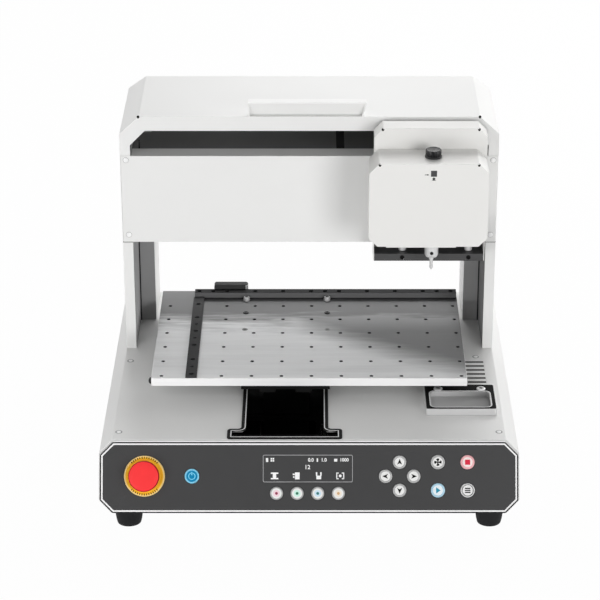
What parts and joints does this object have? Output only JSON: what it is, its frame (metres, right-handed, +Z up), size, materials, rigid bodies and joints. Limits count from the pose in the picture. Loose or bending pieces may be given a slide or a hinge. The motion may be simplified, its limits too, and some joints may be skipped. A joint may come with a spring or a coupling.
{
  "type": "engraving machine",
  "caption": "Desktop engraver: tilted control panel, gantry with travelling head and floating stylus, sliding and rising hole-grid table with fences.",
  "frame": {"origin": "under the middle of the machine at the level of the feet's soles", "axes": "+X to the machine's right along the gantry beam, +Y to the rear, +Z up"},
  "size_m": [0.545, 0.5186, 0.4885],
  "materials": {
    "white_paint": "satin powder coat",
    "grey_paint": "satin",
    "dark_sheet": "satin",
    "black_sheet": "satin",
    "panel_print": "printed, satin",
    "display": "gloss",
    "rubber": "matt",
    "plate": "brushed",
    "black_anodised": "satin",
    "steel": "ground",
    "motor": "painted",
    "black_plastic": "satin",
    "stop_red": "gloss",
    "stop_yellow": "satin",
    "button_white": "satin",
    "button_blue": "satin"
  },
  "bodies": {
    "base": {"base_casing": "white_paint", "base_floor": "white_paint", "foot_front_left": "rubber", "foot_front_right": "rubber", "foot_rear_left": "rubber", "foot_rear_right": "rubber", "front_panel": "panel_print", "display_window": "display", "estop_collar": "stop_yellow", "slot_trim": "black_sheet", "tool_tray": "black_sheet", "power_inlet": "black_plastic", "upright_left": "grey_paint", "upright_right": "grey_paint", "side_cover_left": "white_paint", "side_cover_right": "white_paint", "x_beam": "plate", "x_rail": "steel", "x_motor": "motor", "beam_cover": "white_paint", "hood": "white_paint", "hood_grip": "white_paint", "y_rail_left": "steel", "y_rail_right": "steel", "y_motor": "motor"},
    "x_screw_body": {"x_screw": "steel"},
    "head": {"x_carriage": "black_anodised", "head_frame": "dark_sheet", "head_rear_cover": "white_paint", "guide_rod_left": "steel", "guide_rod_right": "steel", "z_motor": "motor"},
    "z_screw_body": {"z_screw": "steel"},
    "tool_block": {"z_block": "black_anodised", "head_front_cover": "white_paint"},
    "knob": {"pressure_knob": "black_plastic"},
    "quill_body": {"quill": "steel"},
    "spindle": {"tool_spindle": "steel", "stylus": "steel"},
    "y_screw_body": {"y_screw": "steel"},
    "table_carriage": {"y_carriage": "black_anodised"},
    "table": {"lift_column": "black_sheet", "table_plate": "plate", "left_fence": "black_anodised", "rear_fence": "black_anodised", "datum_block": "black_anodised"},
    "estop": {"estop_head": "stop_red"},
    "power_button_body": {"power_button": "button_blue"},
    "function_button_1_body": {"function_button_1": "button_white"},
    "function_button_2_body": {"function_button_2": "button_white"},
    "function_button_3_body": {"function_button_3": "button_white"},
    "function_button_4_body": {"function_button_4": "button_white"},
    "up_button_body": {"up_button": "button_white"},
    "left_button_body": {"left_button": "button_white"},
    "right_button_body": {"right_button": "button_white"},
    "down_button_body": {"down_button": "button_white"},
    "fan_button_body": {"fan_button": "button_white"},
    "stop_button_body": {"stop_button": "button_white"},
    "start_button_body": {"start_button": "button_white"},
    "menu_button_body": {"menu_button": "button_white"}
  },
  "joints": [
    {"name": "head_travel", "type": "slide", "parent": "base", "child": "head", "axis": [1, 0, 0], "range_m": [-0.31, 0]},
    {"name": "x_screw_turn", "type": "hinge", "parent": "base", "child": "x_screw_body", "pos_m": [0, 0.13724, 0.3863], "axis": [1, 0, 0], "continuous": true},
    {"name": "head_drop", "type": "slide", "parent": "head", "child": "tool_block", "axis": [0, 0, -1], "range_m": [0, 0.03]},
    {"name": "z_screw_turn", "type": "hinge", "parent": "head", "child": "z_screw_body", "pos_m": [0.17195, 0.04254, 0.2825], "axis": [0, 0, 1], "continuous": true},
    {"name": "knob_turn", "type": "hinge", "parent": "tool_block", "child": "knob", "pos_m": [0.1645, -0.00116, 0.4348], "axis": [0, 0, 1], "continuous": true},
    {"name": "quill_float", "type": "slide", "parent": "tool_block", "child": "quill_body", "axis": [0, 0, 1], "range_m": [0, 0.005], "stiffness_N_per_m": 900, "springref_m": -0.003},
    {"name": "spindle_turn", "type": "hinge", "parent": "quill_body", "child": "spindle", "pos_m": [0.1645, -0.00116, 0.2909], "axis": [0, 0, 1], "continuous": true},
    {"name": "table_travel", "type": "slide", "parent": "base", "child": "table_carriage", "axis": [0, 1, 0], "range_m": [-0.155, 0.08]},
    {"name": "y_screw_turn", "type": "hinge", "parent": "base", "child": "y_screw_body", "pos_m": [0.02, 0.04359, 0.0328], "axis": [0, 1, 0], "continuous": true},
    {"name": "table_lift", "type": "slide", "parent": "table_carriage", "child": "table", "axis": [0, 0, 1], "range_m": [0, 0.085]},
    {"name": "estop_push", "type": "slide", "parent": "base", "child": "estop", "axis": [0, 0.891, -0.454], "range_m": [0, 0.005]},
    {"name": "power_button_push", "type": "slide", "parent": "base", "child": "power_button_body", "axis": [0, 0.891, -0.454], "range_m": [0, 0.0008], "stiffness_N_per_m": 900, "springref_m": -0.0006},
    {"name": "function_button_1_push", "type": "slide", "parent": "base", "child": "function_button_1_body", "axis": [0, 0.891, -0.454], "range_m": [0, 0.0008], "stiffness_N_per_m": 900, "springref_m": -0.0006},
    {"name": "function_button_2_push", "type": "slide", "parent": "base", "child": "function_button_2_body", "axis": [0, 0.891, -0.454], "range_m": [0, 0.0008], "stiffness_N_per_m": 900, "springref_m": -0.0006},
    {"name": "function_button_3_push", "type": "slide", "parent": "base", "child": "function_button_3_body", "axis": [0, 0.891, -0.454], "range_m": [0, 0.0008], "stiffness_N_per_m": 900, "springref_m": -0.0006},
    {"name": "function_button_4_push", "type": "slide", "parent": "base", "child": "function_button_4_body", "axis": [0, 0.891, -0.454], "range_m": [0, 0.0008], "stiffness_N_per_m": 900, "springref_m": -0.0006},
    {"name": "up_button_push", "type": "slide", "parent": "base", "child": "up_button_body", "axis": [0, 0.891, -0.454], "range_m": [0, 0.0008], "stiffness_N_per_m": 900, "springref_m": -0.0006},
    {"name": "left_button_push", "type": "slide", "parent": "base", "child": "left_button_body", "axis": [0, 0.891, -0.454], "range_m": [0, 0.0008], "stiffness_N_per_m": 900, "springref_m": -0.0006},
    {"name": "right_button_push", "type": "slide", "parent": "base", "child": "right_button_body", "axis": [0, 0.891, -0.454], "range_m": [0, 0.0008], "stiffness_N_per_m": 900, "springref_m": -0.0006},
    {"name": "down_button_push", "type": "slide", "parent": "base", "child": "down_button_body", "axis": [0, 0.891, -0.454], "range_m": [0, 0.0008], "stiffness_N_per_m": 900, "springref_m": -0.0006},
    {"name": "fan_button_push", "type": "slide", "parent": "base", "child": "fan_button_body", "axis": [0, 0.891, -0.454], "range_m": [0, 0.0008], "stiffness_N_per_m": 900, "springref_m": -0.0006},
    {"name": "stop_button_push", "type": "slide", "parent": "base", "child": "stop_button_body", "axis": [0, 0.891, -0.454], "range_m": [0, 0.0008], "stiffness_N_per_m": 900, "springref_m": -0.0006},
    {"name": "start_button_push", "type": "slide", "parent": "base", "child": "start_button_body", "axis": [0, 0.891, -0.454], "range_m": [0, 0.0008], "stiffness_N_per_m": 900, "springref_m": -0.0006},
    {"name": "menu_button_push", "type": "slide", "parent": "base", "child": "menu_button_body", "axis": [0, 0.891, -0.454], "range_m": [0, 0.0008], "stiffness_N_per_m": 900, "springref_m": -0.0006}
  ],
  "couplings": [
    {"joint": "x_screw_turn", "follows": "head_travel", "rad_per_m": -628.32},
    {"joint": "y_screw_turn", "follows": "table_travel", "rad_per_m": -628.32},
    {"joint": "z_screw_turn", "follows": "head_drop", "rad_per_m": 1256.6}
  ]
}
